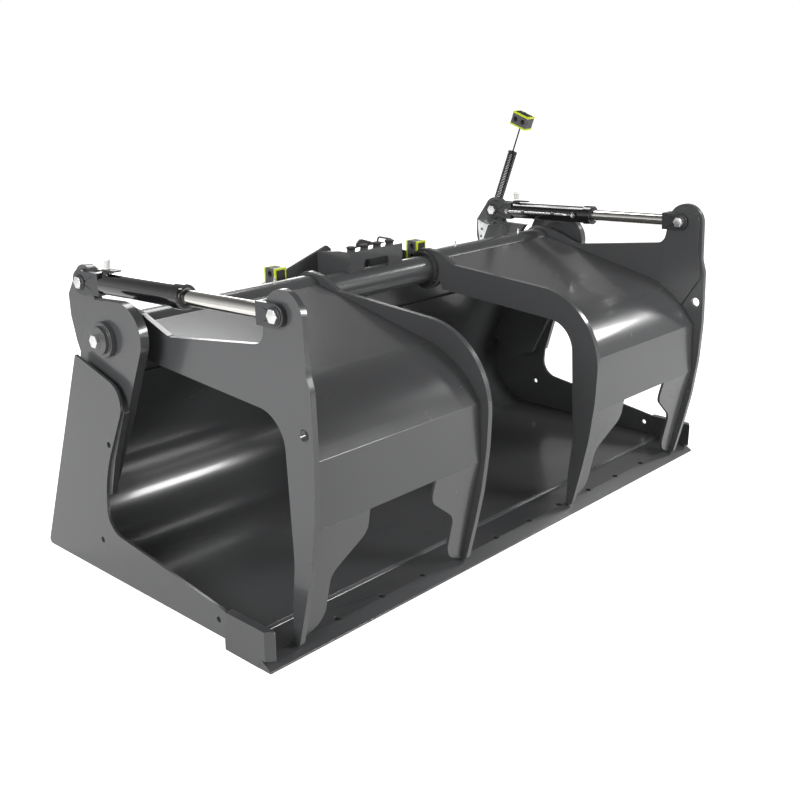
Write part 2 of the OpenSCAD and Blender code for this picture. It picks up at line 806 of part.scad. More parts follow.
bucket_shell();
top_rail();
cutting_edge();
wear_bars();
side_plate(left);  // side_plate_left
side_plate(right);  // side_plate_right
side_cutter(left);  // side_cutter_left
side_cutter(right);  // side_cutter_right
side_doublers();
pivot_ear(left);  // pivot_ear_left
pivot_ear(right);  // pivot_ear_right
cylinder_ear(left);  // cylinder_ear_left
cylinder_ear(right);  // cylinder_ear_right
attach_plate();
attach_ribs();
pivot_tube();
tube_plugs();
pivot_caps();
pivot_bolts();
back_guard();
step();
clamp_bodies();
clamp_plates();
hose_bracket();
spring_socket();
hose_spring();
spring_stem();
spring_clamp();
spring_clamp_plates();
arm_outer(left);  // arm_outer_left
arm_inner(left);  // arm_inner_left
cover(left);  // cover_left
apron(left);  // apron_left
hub_sleeve(left);  // hub_sleeve_left
hub_bushes(left);  // hub_bushes_left
lug_doubler(left);  // lug_doubler_left
arm_outer(right);  // arm_outer_right
arm_inner(right);  // arm_inner_right
cover(right);  // cover_right
apron(right);  // apron_right
hub_sleeve(right);  // hub_sleeve_right
hub_bushes(right);  // hub_bushes_right
lug_doubler(right);  // lug_doubler_right
barrel(left);  // barrel_left
base_clevis(left);  // base_clevis_left
gland(left);  // gland_left
base_pin(left);  // base_pin_left
barrel(right);  // barrel_right
base_clevis(right);  // base_clevis_right
gland(right);  // gland_right
base_pin(right);  // base_pin_right
rod(left);  // rod_left
piston(left);  // piston_left
rod_clevis(left);  // rod_clevis_left
rod_pin(left);  // rod_pin_left
rod(right);  // rod_right
piston(right);  // piston_right
rod_clevis(right);  // rod_clevis_right
rod_pin(right);  // rod_pin_right
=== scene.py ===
# %% [markdown]
# A grapple bucket is a wide steel bucket with two hinged grapples that close over its load, each pushed
# by a hydraulic cylinder. The steel could be modelled again here, but it could then drift from the
# solids that move and collide. So this script dresses the CAD nodes and adds the small pieces that they
# lack.
# %% Start
import json
import math

import bmesh
import bpy
from mathutils import Matrix, Vector


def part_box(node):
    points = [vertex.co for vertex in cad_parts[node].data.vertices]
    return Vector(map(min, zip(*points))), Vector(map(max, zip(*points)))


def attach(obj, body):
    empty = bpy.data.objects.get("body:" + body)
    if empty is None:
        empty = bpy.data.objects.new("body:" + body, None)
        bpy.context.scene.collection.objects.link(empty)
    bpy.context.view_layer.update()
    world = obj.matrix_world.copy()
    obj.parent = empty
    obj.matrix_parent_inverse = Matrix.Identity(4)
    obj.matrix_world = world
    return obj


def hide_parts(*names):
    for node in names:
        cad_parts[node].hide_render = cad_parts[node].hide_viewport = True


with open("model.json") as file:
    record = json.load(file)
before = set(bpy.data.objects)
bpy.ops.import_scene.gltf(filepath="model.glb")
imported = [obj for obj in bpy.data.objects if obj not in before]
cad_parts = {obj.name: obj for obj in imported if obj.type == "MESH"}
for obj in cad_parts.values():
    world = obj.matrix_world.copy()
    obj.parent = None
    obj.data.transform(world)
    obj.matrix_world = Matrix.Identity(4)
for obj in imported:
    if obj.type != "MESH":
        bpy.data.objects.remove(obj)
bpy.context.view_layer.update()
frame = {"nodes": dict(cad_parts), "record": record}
nodes = frame["nodes"]
scene = bpy.context.scene
scene.view_settings.view_transform = "Standard"

# %% [markdown]
# The added pieces sit on pins, barrels and plates, so their places have to be known. They could be
# typed in as numbers, but those would stay behind when the source changes. So each place is worked out
# from the boxes of the CAD nodes. A cylinder's line runs from its base pin to its rod pin.
# %% Places
def middle(node):
    low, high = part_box(node)
    return (low + high) / 2


SIDES = {"left": -1, "right": 1}
BASE = {s: middle(f"base_pin_{s}") for s in SIDES}
ROD = {s: middle(f"rod_pin_{s}") for s in SIDES}
ALONG = {s: (ROD[s] - BASE[s]).normalized() for s in SIDES}
PIVOT_Z = middle("pivot_tube").z
print("base pin", [round(v, 4) for v in BASE["right"]], "tube axis at", round(PIVOT_Z, 4))

# %% [markdown]
# A barrel leans and moves with its cylinder, so its ends are best measured along it. A box in X, Y and
# Z would mix length and thickness. So every corner of the node is measured along the cylinder's line
# instead.
# %% Measures along a cylinder
def along_span(node, side):
    """Nearest and farthest distance of a node's corners from the base pin, along the cylinder."""
    world = nodes[node].matrix_world
    far = [(world @ v.co - BASE[side]).dot(ALONG[side]) for v in nodes[node].data.vertices]
    return min(far), max(far)


def on_cylinder(side, s, out=0.0, up=0.0):
    """A place s along a cylinder, out towards mid width and up at right angles to it."""
    lateral = Vector((-SIDES[side], 0, 0))
    lift = ALONG[side].cross(Vector((1, 0, 0))).normalized()
    lift = lift if lift.z > 0 else -lift
    return BASE[side] + ALONG[side] * s + lateral * out + lift * up


BARREL_FROM, BARREL_TO = along_span("barrel_right", "right")
BARREL_R = (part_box("barrel_right")[1].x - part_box("barrel_right")[0].x) / 2
print("barrel from", round(BARREL_FROM, 4), "to", round(BARREL_TO, 4), "radius", round(BARREL_R, 4))

# %% [markdown]
# Every added piece is bolted, welded or pressed to one steel part, and moves with it. One short
# function links a piece, gives it its material and puts it on its body.
# %% Put a piece on its body
def put(mesh_or_curve, name, body, material):
    piece = bpy.data.objects.new(name, mesh_or_curve)
    scene.collection.objects.link(piece)
    mesh_or_curve.materials.append(material)
    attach(piece, body)
    return piece


def finish_mesh(bm, name, smooth_angle=35):
    """Turns the working mesh into a mesh whose faces point outwards, smooth but for its sharp edges."""
    bmesh.ops.recalc_face_normals(bm, faces=bm.faces)
    mesh = bpy.data.meshes.new(name)
    bm.to_mesh(mesh)
    bm.free()
    for face in mesh.polygons:
        face.use_smooth = True
    mesh.set_sharp_from_angle(angle=math.radians(smooth_angle))
    return mesh


print("put and finish_mesh ready")

# %% [markdown]
# Washers, nuts, caps, ports and nipples are turned on a lathe, or look as if they were. They could be
# cylinders with bevels, or a spin modifier. Here a profile of radius and height is swept round an axis,
# ring by ring, so each lip and chamfer is two numbers, and a count of 6 makes a hex nut with the same
# function.
# %% Turned pieces
def axis_matrix(place, axis):
    turn = Vector(axis).normalized().to_track_quat("Z", "Y").to_matrix().to_4x4()
    return Matrix.Translation(Vector(place)) @ turn


def lathe_into(bm, profile, place, axis, count=32):
    rings = []
    for radius, height in profile:
        ring = []
        for i in range(count):
            a = 2 * math.pi * i / count
            ring.append(bm.verts.new((radius * math.cos(a), radius * math.sin(a), height)))
        rings.append(ring)
    for low, high in zip(rings, rings[1:]):
        for i in range(count):
            j = (i + 1) % count
            bm.faces.new((low[i], low[j], high[j], high[i]))
    bm.faces.new(list(reversed(rings[0])))
    bm.faces.new(rings[-1])
    made = [v for ring in rings for v in ring]
    bmesh.ops.transform(bm, matrix=axis_matrix(place, axis), verts=made)


def turned(name, profile, places, axis, body, material, count=32):
    bm = bmesh.new()
    for place in places:
        lathe_into(bm, profile, place, axis, count)
    return put(finish_mesh(bm, name), name, body, material)


print("lathe ready")

# %% [markdown]
# Materials are built from the same few nodes again and again. They could be wired by hand each time,
# which makes long scripts that are hard to check. These helpers each add one node, link what is a
# socket and set what is a number, so that a material reads like a sentence.
# %% Node helpers
def feed(tree, value, socket):
    if hasattr(value, "is_output"):
        tree.links.new(value, socket)
    else:
        socket.default_value = value


def math_node(tree, kind, a, b, clamp=False):
    node = tree.nodes.new("ShaderNodeMath")
    node.operation = kind
    node.use_clamp = clamp
    feed(tree, a, node.inputs[0])
    feed(tree, b, node.inputs[1])
    return node.outputs[0]


def map_node(tree, value, low, high, to_low, to_high):
    node = tree.nodes.new("ShaderNodeMapRange")
    tree.links.new(value, node.inputs["Value"])
    for label, number in zip(("From Min", "From Max", "To Min", "To Max"), (low, high, to_low, to_high)):
        node.inputs[label].default_value = number
    return node.outputs["Result"]


def noise_node(tree, place, scale, detail, roughness):
    node = tree.nodes.new("ShaderNodeTexNoise")
    tree.links.new(place, node.inputs["Vector"])
    node.inputs["Scale"].default_value = scale
    node.inputs["Detail"].default_value = detail
    node.inputs["Roughness"].default_value = roughness
    return node.outputs["Fac"]


def mix_colour(tree, share, a, b):
    node = tree.nodes.new("ShaderNodeMix")
    node.data_type = "RGBA"
    feed(tree, share, node.inputs["Factor"])
    feed(tree, a, node.inputs[6])
    feed(tree, b, node.inputs[7])
    return node.outputs[2]


print("node helpers ready")

# %% [markdown]
# Powder coat on a working tool is never one flat colour. It shifts a little in tone, has a fine orange peel,
# and is rubbed thin on its edges, where the bare colour also paints a thin light line as a painted highlight.
# Each paint could hold its own noise, but they'd soon differ. So one node group does it for all paints. It
# reads places and normals only, and so it holds from every side.
# %% Rubbed edges and painted edge highlight
EDGE_REACH = 0.0022
# The bare colour is that of rubbed paint, and along edges it is also a painted highlight.
BARE_AND_HIGHLIGHT = (0.2, 0.2, 0.205)


def rubbed_and_highlit_edges(group, place, patch):
    """Where paint is rubbed and a highlight is painted, from 0 to 1: close to sharp edges, broken up by a
    coarse and a fine noise.
    """
    speck = noise_node(group, place, 160.0, 2.0, 0.5)
    rounded = group.nodes.new("ShaderNodeBevel")
    rounded.samples = 4
    rounded.inputs["Radius"].default_value = EDGE_REACH
    dot = group.nodes.new("ShaderNodeVectorMath")
    dot.operation = "DOT_PRODUCT"
    group.links.new(rounded.outputs["Normal"], dot.inputs[0])
    group.links.new(group.nodes.new("ShaderNodeNewGeometry").outputs["Normal"], dot.inputs[1])
    edge = map_node(group, dot.outputs["Value"], 0.995, 0.86, 0.0, 1.0)
    broken = map_node(group, math_node(group, "ADD", patch, speck), 0.86, 1.18, 0.0, 1.0)
    return math_node(group, "MULTIPLY", edge, broken)


print("edges rubbed within", EDGE_REACH * 1000, "mm")

# %% [markdown]
# The group takes the paint's colour, the bare colour, which near edges is also a painted highlight, a gloss
# and an amount of wear and painted highlight. It gives back a colour, a roughness and a height. The shader
# itself stays in each material, where the export can read it.
# %% Shared paint detail
def paint_detail():
    group = bpy.data.node_groups.new("paint_detail", "ShaderNodeTree")
    for label in ("Paint", "Bare and highlight"):
        group.interface.new_socket(label, in_out="INPUT", socket_type="NodeSocketColor")
    for label in ("Gloss", "Wear and highlight"):
        group.interface.new_socket(label, in_out="INPUT", socket_type="NodeSocketFloat")
    group.interface.new_socket("Color", in_out="OUTPUT", socket_type="NodeSocketColor")
    for label in ("Roughness", "Height"):
        group.interface.new_socket(label, in_out="OUTPUT", socket_type="NodeSocketFloat")
    given = group.nodes.new("NodeGroupInput").outputs
    result = group.nodes.new("NodeGroupOutput").inputs
    place = group.nodes.new("ShaderNodeTexCoord").outputs["Object"]
    broad = noise_node(group, place, 2.2, 4.0, 0.55)
    patch = noise_node(group, place, 9.0, 5.0, 0.6)
    peel = noise_node(group, place, 420.0, 1.0, 0.4)

    tone = group.nodes.new("ShaderNodeVectorMath")
    tone.operation = "SCALE"
    group.links.new(given["Paint"], tone.inputs[0])
    group.links.new(map_node(group, broad, 0.3, 0.7, 0.97, 1.03), tone.inputs["Scale"])
    # Near sharp edges the bare colour is mixed in: rubbed paint, and also a painted highlight along each
    # edge.
    worn_and_highlit = math_node(group, "MULTIPLY", rubbed_and_highlit_edges(group, place, patch), given["Wear and highlight"], clamp=True)
    group.links.new(mix_colour(group, worn_and_highlit, tone.outputs["Vector"], given["Bare and highlight"]), result["Color"])

    rough = math_node(group, "ADD", given["Gloss"], map_node(group, patch, 0.3, 0.75, -0.015, 0.03))
    rougher = math_node(group, "MULTIPLY", worn_and_highlit, 0.12)
    group.links.new(math_node(group, "ADD", rough, rougher, clamp=True), result["Roughness"])
    height = math_node(group, "ADD", peel, math_node(group, "MULTIPLY", broad, 0.8))
    group.links.new(height, result["Height"])
    return group


PAINT = paint_detail()
print("paint group has", len(PAINT.nodes), "nodes")

# %% [markdown]
# The bucket and grapples wear a satin grey powder coat, the cylinders a gloss black, and the clamp
# plates a lime green. Each paint could be a plain colour with a roughness, and would then look like
# plastic. So each is one shader on top of the shared detail, with a clear coat as strong as its gloss
# asks for.
# %% Paints
def new_material(name):
    material = bpy.data.materials.new(name)
    material.use_nodes = True
    tree = material.node_tree
    return material, tree, tree.nodes["Principled BSDF"]


def add_bump(tree, shader, height, strength, distance):
    bump = tree.nodes.new("ShaderNodeBump")
    bump.inputs["Strength"].default_value = strength
    bump.inputs["Distance"].default_value = distance
    tree.links.new(height, bump.inputs["Height"])
    tree.links.new(bump.outputs["Normal"], shader.inputs["Normal"])


def paint(name, colour, gloss, wear_and_highlight, coat=0.0, peel=0.03):
    material, tree, shader = new_material(name)
    detail = tree.nodes.new("ShaderNodeGroup")
    detail.node_tree = PAINT
    detail.inputs["Paint"].default_value = (*colour, 1)
    detail.inputs["Bare and highlight"].default_value = (*BARE_AND_HIGHLIGHT, 1)
    detail.inputs["Gloss"].default_value = gloss
    detail.inputs["Wear and highlight"].default_value = wear_and_highlight
    tree.links.new(detail.outputs["Color"], shader.inputs["Base Color"])
    tree.links.new(detail.outputs["Roughness"], shader.inputs["Roughness"])
    add_bump(tree, shader, detail.outputs["Height"], peel, 0.0006)
    shader.inputs["Coat Weight"].default_value = coat
    shader.inputs["Coat Roughness"].default_value = 0.1
    return material


# Each paint's fourth number is its amount of edge wear and painted edge highlight.
GREY = paint("grey_paint", (0.06, 0.061, 0.063), 0.25, 0.2, coat=0.35)
EDGE = paint("edge_paint", (0.055, 0.056, 0.058), 0.3, 0.3, coat=0.3)
CLEVIS = paint("clevis_paint", (0.03, 0.031, 0.033), 0.28, 0.3, coat=0.2)
BLACK = paint("black_gloss", (0.006, 0.006, 0.007), 0.07, 0.05, coat=1.0, peel=0.01)
LIME = paint("lime_paint", (0.60, 0.70, 0.012), 0.32, 0.1)
SPRING = paint("spring_black", (0.007, 0.007, 0.008), 0.38, 0.2)
print("paints:", [m.name for m in (GREY, EDGE, CLEVIS, BLACK, LIME, SPRING)])

# %% [markdown]
# The rods are ground and chromed, which leaves fine marks round them. Bolts are zinc plated, with a
# faint bloom, and bushes are dark steel. Rubber and moulded plastic have no metal in them, but the same
# two scales of noise suit them. So one function makes all of these. It stretches its fine noise along
# one axis for turning marks.
# %% Metals, rubber and plastic
FINE_SCALE = 60.0
BLOOM_SCALE = 30.0


def metal(name, colour, gloss, stretch, swing, grain, metallic=1.0, tint=0.08):
    material, tree, shader = new_material(name)
    place = tree.nodes.new("ShaderNodeTexCoord").outputs["Object"]
    mapping = tree.nodes.new("ShaderNodeMapping")
    mapping.inputs["Scale"].default_value = stretch
    tree.links.new(place, mapping.inputs["Vector"])
    fine = noise_node(tree, mapping.outputs["Vector"], FINE_SCALE, 4.0, 0.6)
    bloom = map_node(tree, noise_node(tree, place, BLOOM_SCALE, 3.0, 0.5), 0.35, 0.65, 0, 1)
    dark = tuple(c * (1 - tint) for c in colour) + (1,)
    bright = tuple(min(1, c * (1 + tint)) for c in colour) + (1,)
    tree.links.new(mix_colour(tree, bloom, dark, bright), shader.inputs["Base Color"])
    tree.links.new(map_node(tree, fine, 0.3, 0.7, gloss, gloss + swing), shader.inputs["Roughness"])
    add_bump(tree, shader, fine, grain, 0.0003)
    shader.inputs["Metallic"].default_value = metallic
    return material


CHROME = metal("chrome", (0.86, 0.84, 0.80), 0.05, (1, 14, 14), 0.03, 0.015, tint=0.03)
ZINC = metal("zinc", (0.9, 0.9, 0.89), 0.22, (1, 1, 1), 0.15, 0.15)
STEEL = metal("piston_steel", (0.5, 0.5, 0.49), 0.3, (1, 12, 12), 0.15, 0.1)
BUSH = metal("bush_steel", (0.13, 0.128, 0.125), 0.34, (1, 12, 12), 0.2, 0.1)
PLASTIC = metal("clamp_grey", (0.085, 0.084, 0.09), 0.5, (6, 6, 6), 0.15, 0.3, metallic=0.0, tint=0.06)
GALVANISED = metal("galvanised", (0.88, 0.89, 0.9), 0.25, (3, 3, 3), 0.2, 0.2, tint=0.15)
PIPE = metal("pipe_zinc", (0.55, 0.55, 0.54), 0.22, (4, 4, 4), 0.1, 0.1)
WASHER = metal("washer_black", (0.045, 0.045, 0.047), 0.35, (2, 2, 2), 0.15, 0.1, metallic=0.6)
RUBBER = metal("rubber", (0.018, 0.018, 0.019), 0.6, (6, 6, 6), 0.15, 0.2, metallic=0.0)
PANEL = metal("clamp_panel", (0.02, 0.021, 0.022), 0.4, (5, 5, 5), 0.15, 0.2, metallic=0.0)
CAP_WHITE = metal("cap_white", (0.88, 0.88, 0.85), 0.4, (3, 3, 3), 0.1, 0.1, metallic=0.0, tint=0.03)
print("metals:", [m.name for m in (CHROME, ZINC, STEEL, BUSH, GALVANISED, PIPE, WASHER)])
print("rubber and plastic:", [m.name for m in (PLASTIC, RUBBER, PANEL, CAP_WHITE)])

# %% [markdown]
# Cut steel plate has slightly rounded edges, and its paint rounds them more, so each edge catches a
# thin line of light. The edges could be rounded in CAD, at the cost of many faces. A bevel modifier
# does it here, and leaves the solid as it is. Weighted normals keep the flat faces flat beside it.
# %% Dress the CAD nodes
BY_SLOT = {
    "grey_paint": GREY, "edge_paint": EDGE, "clevis_paint": CLEVIS, "black_gloss": BLACK, "lime_paint": LIME,
    "spring_black": SPRING, "chrome": CHROME, "zinc": ZINC, "piston_steel": STEEL, "bush_steel": BUSH,
    "clamp_grey": PLASTIC,
}
SLOT_OF = {row["node"]: row["material_slot"] for row in frame["record"]["subparts"]}
FINE_NODES = ("clamp", "spring", "bush", "gland", "piston", "pin", "bolts", "bracket")
FINE_EDGE = 0.0005
PLATE_EDGE = 0.0012


def soften(node, width):
    weld = node.modifiers.new("weld", "WELD")
    weld.merge_threshold = 0.00001
    edge = node.modifiers.new("edges", "BEVEL")
    edge.width = width
    edge.segments = 2
    edge.limit_method = "ANGLE"
    edge.angle_limit = math.radians(32)
    edge.harden_normals = False
    edge.use_clamp_overlap = True
    smooth = node.modifiers.new("normals", "WEIGHTED_NORMAL")
    smooth.mode = "FACE_AREA"
    smooth.keep_sharp = True


for name, node in nodes.items():
    node.data.materials.clear()
    node.data.materials.append(GALVANISED if name == "hose_bracket" else BY_SLOT[SLOT_OF[name]])
    for face in node.data.polygons:
        face.use_smooth = True
    soften(node, FINE_EDGE if any(word in name for word in FINE_NODES) else PLATE_EDGE)
print("dressed", len(nodes), "nodes")

# %% [markdown]
# Flanges, panels and covers are small flat plates with rounded corners. A scaled cube with a bevel
# would do, but its corners would stretch with it. So the outline is drawn with four arcs of the true
# radius and given a thickness, and only its rim is bevelled. A second function turns it from flat on
# the floor to where it belongs.
# %% Rounded plates
def rounded_plate(length, width, thick, radius):
    """A flat plate with rounded corners, its long side on X, its underside at Z 0."""
    bm = bmesh.new()
    x_mid, y_mid = length / 2 - radius, width / 2 - radius
    corners = [(x_mid, y_mid, 0), (-x_mid, y_mid, 90), (-x_mid, -y_mid, 180), (x_mid, -y_mid, 270)]
    outline = []
    for x, y, start in corners:
        for step in range(7):
            a = math.radians(start + step * 15)
            outline.append((x + radius * math.cos(a), y + radius * math.sin(a)))
    low = [bm.verts.new((x, y, 0)) for x, y in outline]
    high = [bm.verts.new((x, y, thick)) for x, y in outline]
    bm.faces.new(list(reversed(low)))
    bm.faces.new(high)
    for i in range(len(outline)):
        j = (i + 1) % len(outline)
        bm.faces.new((low[i], low[j], high[j], high[i]))
    rim = [e for e in bm.edges if len(e.link_faces) == 2 and e.calc_face_angle() > 1.0]
    bmesh.ops.bevel(bm, geom=rim, offset=thick * 0.22, segments=2, affect="EDGES")
    return bm


def place_mesh(bm, place, x_axis, y_axis):
    x, y = Vector(x_axis).normalized(), Vector(y_axis).normalized()
    z = x.cross(y).normalized()
    turn = Matrix((x, y, z)).transposed().to_4x4()
    bmesh.ops.transform(bm, matrix=Matrix.Translation(Vector(place)) @ turn, verts=bm.verts)


print("rounded plates ready")

# %% [markdown]
# The barrel is a drawn steel tube with a welded bottom, painted gloss black. It could be a cylinder
# with a bore cut by a boolean, which often leaves ragged edges. Here a closed profile, bore and all, is
# turned round the cylinder's line, so the rod and piston still have their room. A short turned boss is
# added for each port.
# %% Barrels
WALL = 0.0031
BOTTOM = 0.010
CHAMFER = 0.001
PORT_S = 0.093
PORT_R = 0.0125
PORT_RISE = 0.0075
FRONT_PORT_S = 0.363
FRONT_PORT_R = 0.011
FRONT_PORT_RISE = 0.007
BOSS_ROOT = 0.004


def boss_into(bm, place, axis, radius, rise):
    top = BARREL_R + rise
    profile = [(radius, BARREL_R - BOSS_ROOT), (radius, top - CHAMFER), (radius - 0.0008, top)]
    lathe_into(bm, profile, place, axis, 40)


def barrel(side, lift, inward):
    bore = BARREL_R - WALL
    tube = [
        (bore, BARREL_FROM + BOTTOM), (bore, BARREL_TO), (BARREL_R - CHAMFER, BARREL_TO),
        (BARREL_R, BARREL_TO - CHAMFER), (BARREL_R, BARREL_FROM + CHAMFER), (BARREL_R - CHAMFER, BARREL_FROM),
    ]
    bm = bmesh.new()
    lathe_into(bm, tube, BASE[side], ALONG[side], 96)
    boss_into(bm, on_cylinder(side, PORT_S), lift, PORT_R, PORT_RISE)
    boss_into(bm, on_cylinder(side, FRONT_PORT_S), inward, FRONT_PORT_R, FRONT_PORT_RISE)
    name = f"gloss_barrel_{side}"
    piece = put(finish_mesh(bm, name), name, f"barrel_{side}_body", BLACK)
    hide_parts(f"barrel_{side}")


print("barrel bore", round(BARREL_R - WALL, 4))

# %% [markdown]
# New cylinders are shipped with their ports shut: a pale push-in cap at the rear, over a dark strap
# plate, and a hex plug at the front. Each is a plate or a turned piece, seated a hair into what it
# stands on, so that no light shows between them.
# %% Port fittings
FLANGE_L = 0.064
FLANGE_W = 0.026
FLANGE_T = 0.0035
FLANGE_CORNER = 0.008
FLANGE_AHEAD = 0.022
SEAT = 0.0002
CAP = [
    (0.0085, 0.0), (0.0085, 0.004), (0.0100, 0.006), (0.0112, 0.020), (0.0128, 0.022), (0.0128, 0.025),
    (0.0118, 0.0265),
]
PLUG = [(0.0062, 0.0), (0.0062, 0.0035), (0.0054, 0.0045)]


def port_fittings(side, lift, inward):
    body = f"barrel_{side}_body"
    flange = rounded_plate(FLANGE_L, FLANGE_W, FLANGE_T, FLANGE_CORNER)
    on_boss = BARREL_R + PORT_RISE
    place_mesh(flange, on_cylinder(side, PORT_S + FLANGE_AHEAD, up=on_boss), ALONG[side], inward)
    put(finish_mesh(flange, f"port_flange_{side}"), f"port_flange_{side}", body, SPRING)
    cap_foot = on_cylinder(side, PORT_S, up=on_boss + FLANGE_T - SEAT)
    turned(f"port_cap_{side}", CAP, [cap_foot], lift, body, CAP_WHITE, 40)
    plug_foot = on_cylinder(side, FRONT_PORT_S, out=BARREL_R + FRONT_PORT_RISE - SEAT)
    turned(f"port_plug_{side}", PLUG, [plug_foot], inward, body, ZINC, 6)


for side in SIDES:
    lift = on_cylinder(side, 0, up=1.0) - BASE[side]
    inward = Vector((-SIDES[side], 0, 0))
    barrel(side, lift, inward)
    port_fittings(side, lift, inward)
print("barrels dressed:", len(SIDES))

# %% [markdown]
# Bent wire and pipe are one round section along a line. A sweep of rings would need care at the bends.
# A curve with a round bevel does it in one step, and each corner of its line is eased by a short
# parabola.
# %% Bent wire
def wire(name, points, radius, body, material):
    curve = bpy.data.curves.new(name, "CURVE")
    curve.dimensions = "3D"
    curve.bevel_depth = radius
    curve.bevel_resolution = 3
    curve.use_fill_caps = True
    line = curve.splines.new("POLY")
    line.points.add(len(points) - 1)
    for p, co in zip(line.points, points):
        p.co = (*co, 1)
    line.use_smooth = True
    return put(curve, name, body, material)


def rounded_line(points, radius, steps=6):
    made = [Vector(points[0])]
    for a, b, c in zip(points, points[1:], points[2:]):
        a, b, c = Vector(a), Vector(b), Vector(c)
        u, v = (a - b).normalized(), (c - b).normalized()
        reach = min(radius, (a - b).length * 0.49, (c - b).length * 0.49)
        p, q = b + u * reach, b + v * reach
        for i in range(steps + 1):
            t = i / steps
            made.append((1 - t) ** 2 * p + 2 * t * (1 - t) * b + t ** 2 * q)
    made.append(Vector(points[-1]))
    return made


print("bent wire ready")

# %% [markdown]
# Oil for the front port runs through a bent steel pipe along the inner side of the barrel, held by two
# saddles. The pipe is a bent wire of its own radius, and the nut and saddles are turned on the pipe's
# line.
# %% Feed pipes
PIPE_R = 0.0045
PIPE_BEND = 0.012
PIPE_OUT = BARREL_R + 0.0075
PIPE_FROM = 0.076
PIPE_STRAIGHT_TO = 0.331
PIPE_TO = 0.347
NUT_S = 0.070
NUT = [(0.0082, 0.0), (0.0088, 0.0008), (0.0088, 0.0122), (0.0082, 0.013)]
SADDLE = [(0.0066, -0.006), (0.0066, 0.006)]
SADDLE_S = (0.150, 0.280)


def feed_pipe(side):
    body = f"barrel_{side}_body"
    path = [
        on_cylinder(side, PIPE_FROM, PIPE_OUT), on_cylinder(side, PIPE_STRAIGHT_TO, PIPE_OUT),
        on_cylinder(side, PIPE_TO, PIPE_OUT - PIPE_BEND),
    ]
    wire(f"feed_pipe_{side}", rounded_line(path, PIPE_BEND), PIPE_R, body, PIPE)
    turned(f"pipe_nut_{side}", NUT, [on_cylinder(side, NUT_S, PIPE_OUT)], ALONG[side], body, ZINC, 6)
    for s in SADDLE_S:
        name = f"pipe_saddle_{side}_{round(s * 1000)}"
        turned(name, SADDLE, [on_cylinder(side, s, PIPE_OUT)], ALONG[side], body, BLACK, 24)


for side in SIDES:
    feed_pipe(side)
print("feed pipes:", len(SIDES))

# %% [markdown]
# The cylinders' pins have hex heads on dark washers, and each head has a turned face, which catches the
# light as a round spot. A texture could fake both, but wouldn't hold from the side. So they are thin
# turned discs.
# %% Pin washers
HEAD_T = 0.009
PIN_WASHER = [(0.0205, 0.0), (0.0215, 0.0004), (0.0215, 0.0016), (0.0205, 0.002)]
HEAD_FACE = [(0.0132, 0.0), (0.0132, 0.0004), (0.0122, 0.0007)]


def pin_trim(pin, body):
    """Washers under both heads of a pin, and a turned disc on each head."""
    half_span = (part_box(pin)[1].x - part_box(pin)[0].x) / 2
    washers = bmesh.new()
    faces = bmesh.new()
    for way in (-1, 1):
        out = Vector((way, 0, 0))
        lathe_into(washers, PIN_WASHER, middle(pin) + out * (half_span - HEAD_T), out, 40)
        lathe_into(faces, HEAD_FACE, middle(pin) + out * half_span, out, 40)
    put(finish_mesh(washers, f"{pin}_washers"), f"{pin}_washers", body, WASHER)
    put(finish_mesh(faces, f"{pin}_faces"), f"{pin}_faces", body, ZINC)


print("pin washers reach", PIN_WASHER[1][0])

# %% [markdown]
# A rubber wiper in the mouth of the gland keeps dirt off the rod's seal. Only its lip shows, a low cone
# round the rod, so one turned ring is enough for it. The pins and the wiper of each cylinder are made
# together.
# %% Pins and wipers
WIPER = [(0.0242, 0.0), (0.0246, 0.0006), (0.0236, 0.0026), (0.0205, 0.0034)]

for side in SIDES:
    pin_trim(f"base_pin_{side}", f"barrel_{side}_body")
    pin_trim(f"rod_pin_{side}", f"rod_{side}_body")
    gland_to = along_span(f"gland_{side}", side)[1]
    mouth = on_cylinder(side, gland_to)
    turned(f"wiper_{side}", WIPER, [mouth], ALONG[side], f"barrel_{side}_body", SPRING, 48)
print("pins trimmed:", 2 * len(SIDES))

# %% [markdown]
# The bushes need grease, so a nipple is screwed into each sleeve above a bush. It rides on the grapple
# and turns with it. Its ball nose and hex are too small to see, so one profile with a neck stands for
# the whole of it.
# %% Grease nipples
SLEEVE_R = (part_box("hub_sleeve_left")[1].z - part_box("hub_sleeve_left")[0].z) / 2
NIPPLE_X = (0.400, 0.750)
NIPPLE = [
    (0.0045, -0.001), (0.0045, 0.0035), (0.0028, 0.0045), (0.0028, 0.0085), (0.0036, 0.0095), (0.0036, 0.012),
    (0.0018, 0.0138),
]
for side, way in SIDES.items():
    spots = [Vector((way * x, 0, PIVOT_Z + SLEEVE_R)) for x in NIPPLE_X]
    turned(f"grease_nipples_{side}", NIPPLE, spots, (0, 0, 1), f"grapple_{side}_body", ZINC, 24)
print("grease nipples:", len(NIPPLE_X) * len(SIDES))

